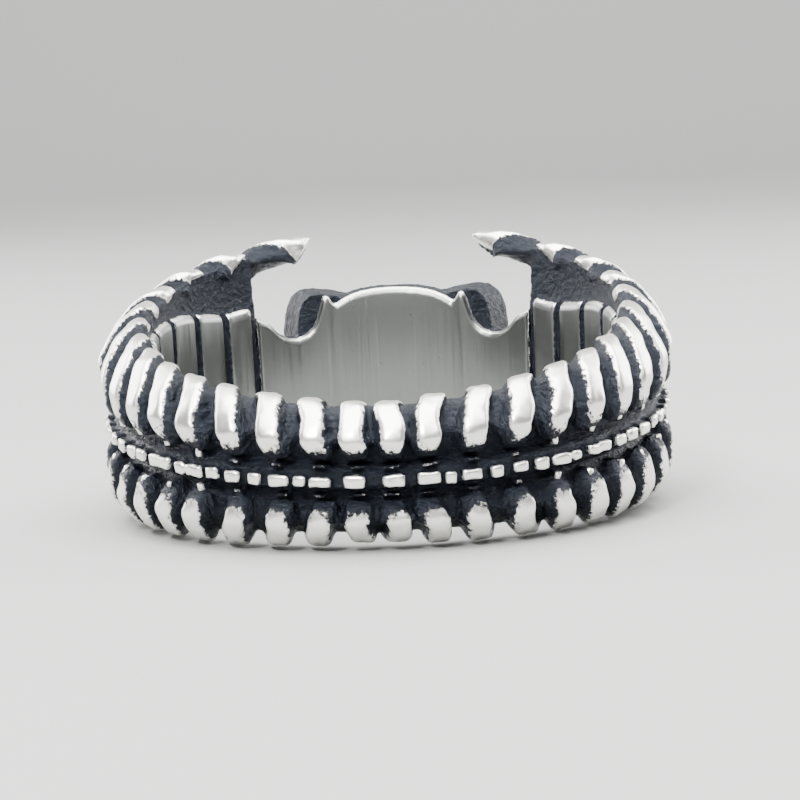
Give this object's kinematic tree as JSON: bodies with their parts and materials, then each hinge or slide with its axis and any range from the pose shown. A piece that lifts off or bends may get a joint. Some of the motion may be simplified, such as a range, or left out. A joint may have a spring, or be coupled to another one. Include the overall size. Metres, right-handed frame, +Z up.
{
  "type": "skull ring",
  "caption": "Cast silver finger ring with a bony spine round the back of the band, curled ribs above and below it, and a skull on the front plate.",
  "frame": {"origin": "middle of the bottom of the box, on the surface that the ring lies on", "axes": "+Z up from the surface, +Y towards the skull at the front, +X to the right seen from the back of the band"},
  "size_m": [0.0252, 0.0286, 0.0118],
  "materials": {
    "silver": "satin, darkened in the recesses"
  },
  "bodies": {
    "root": {"ring": "silver"}
  },
  "joints": []
}
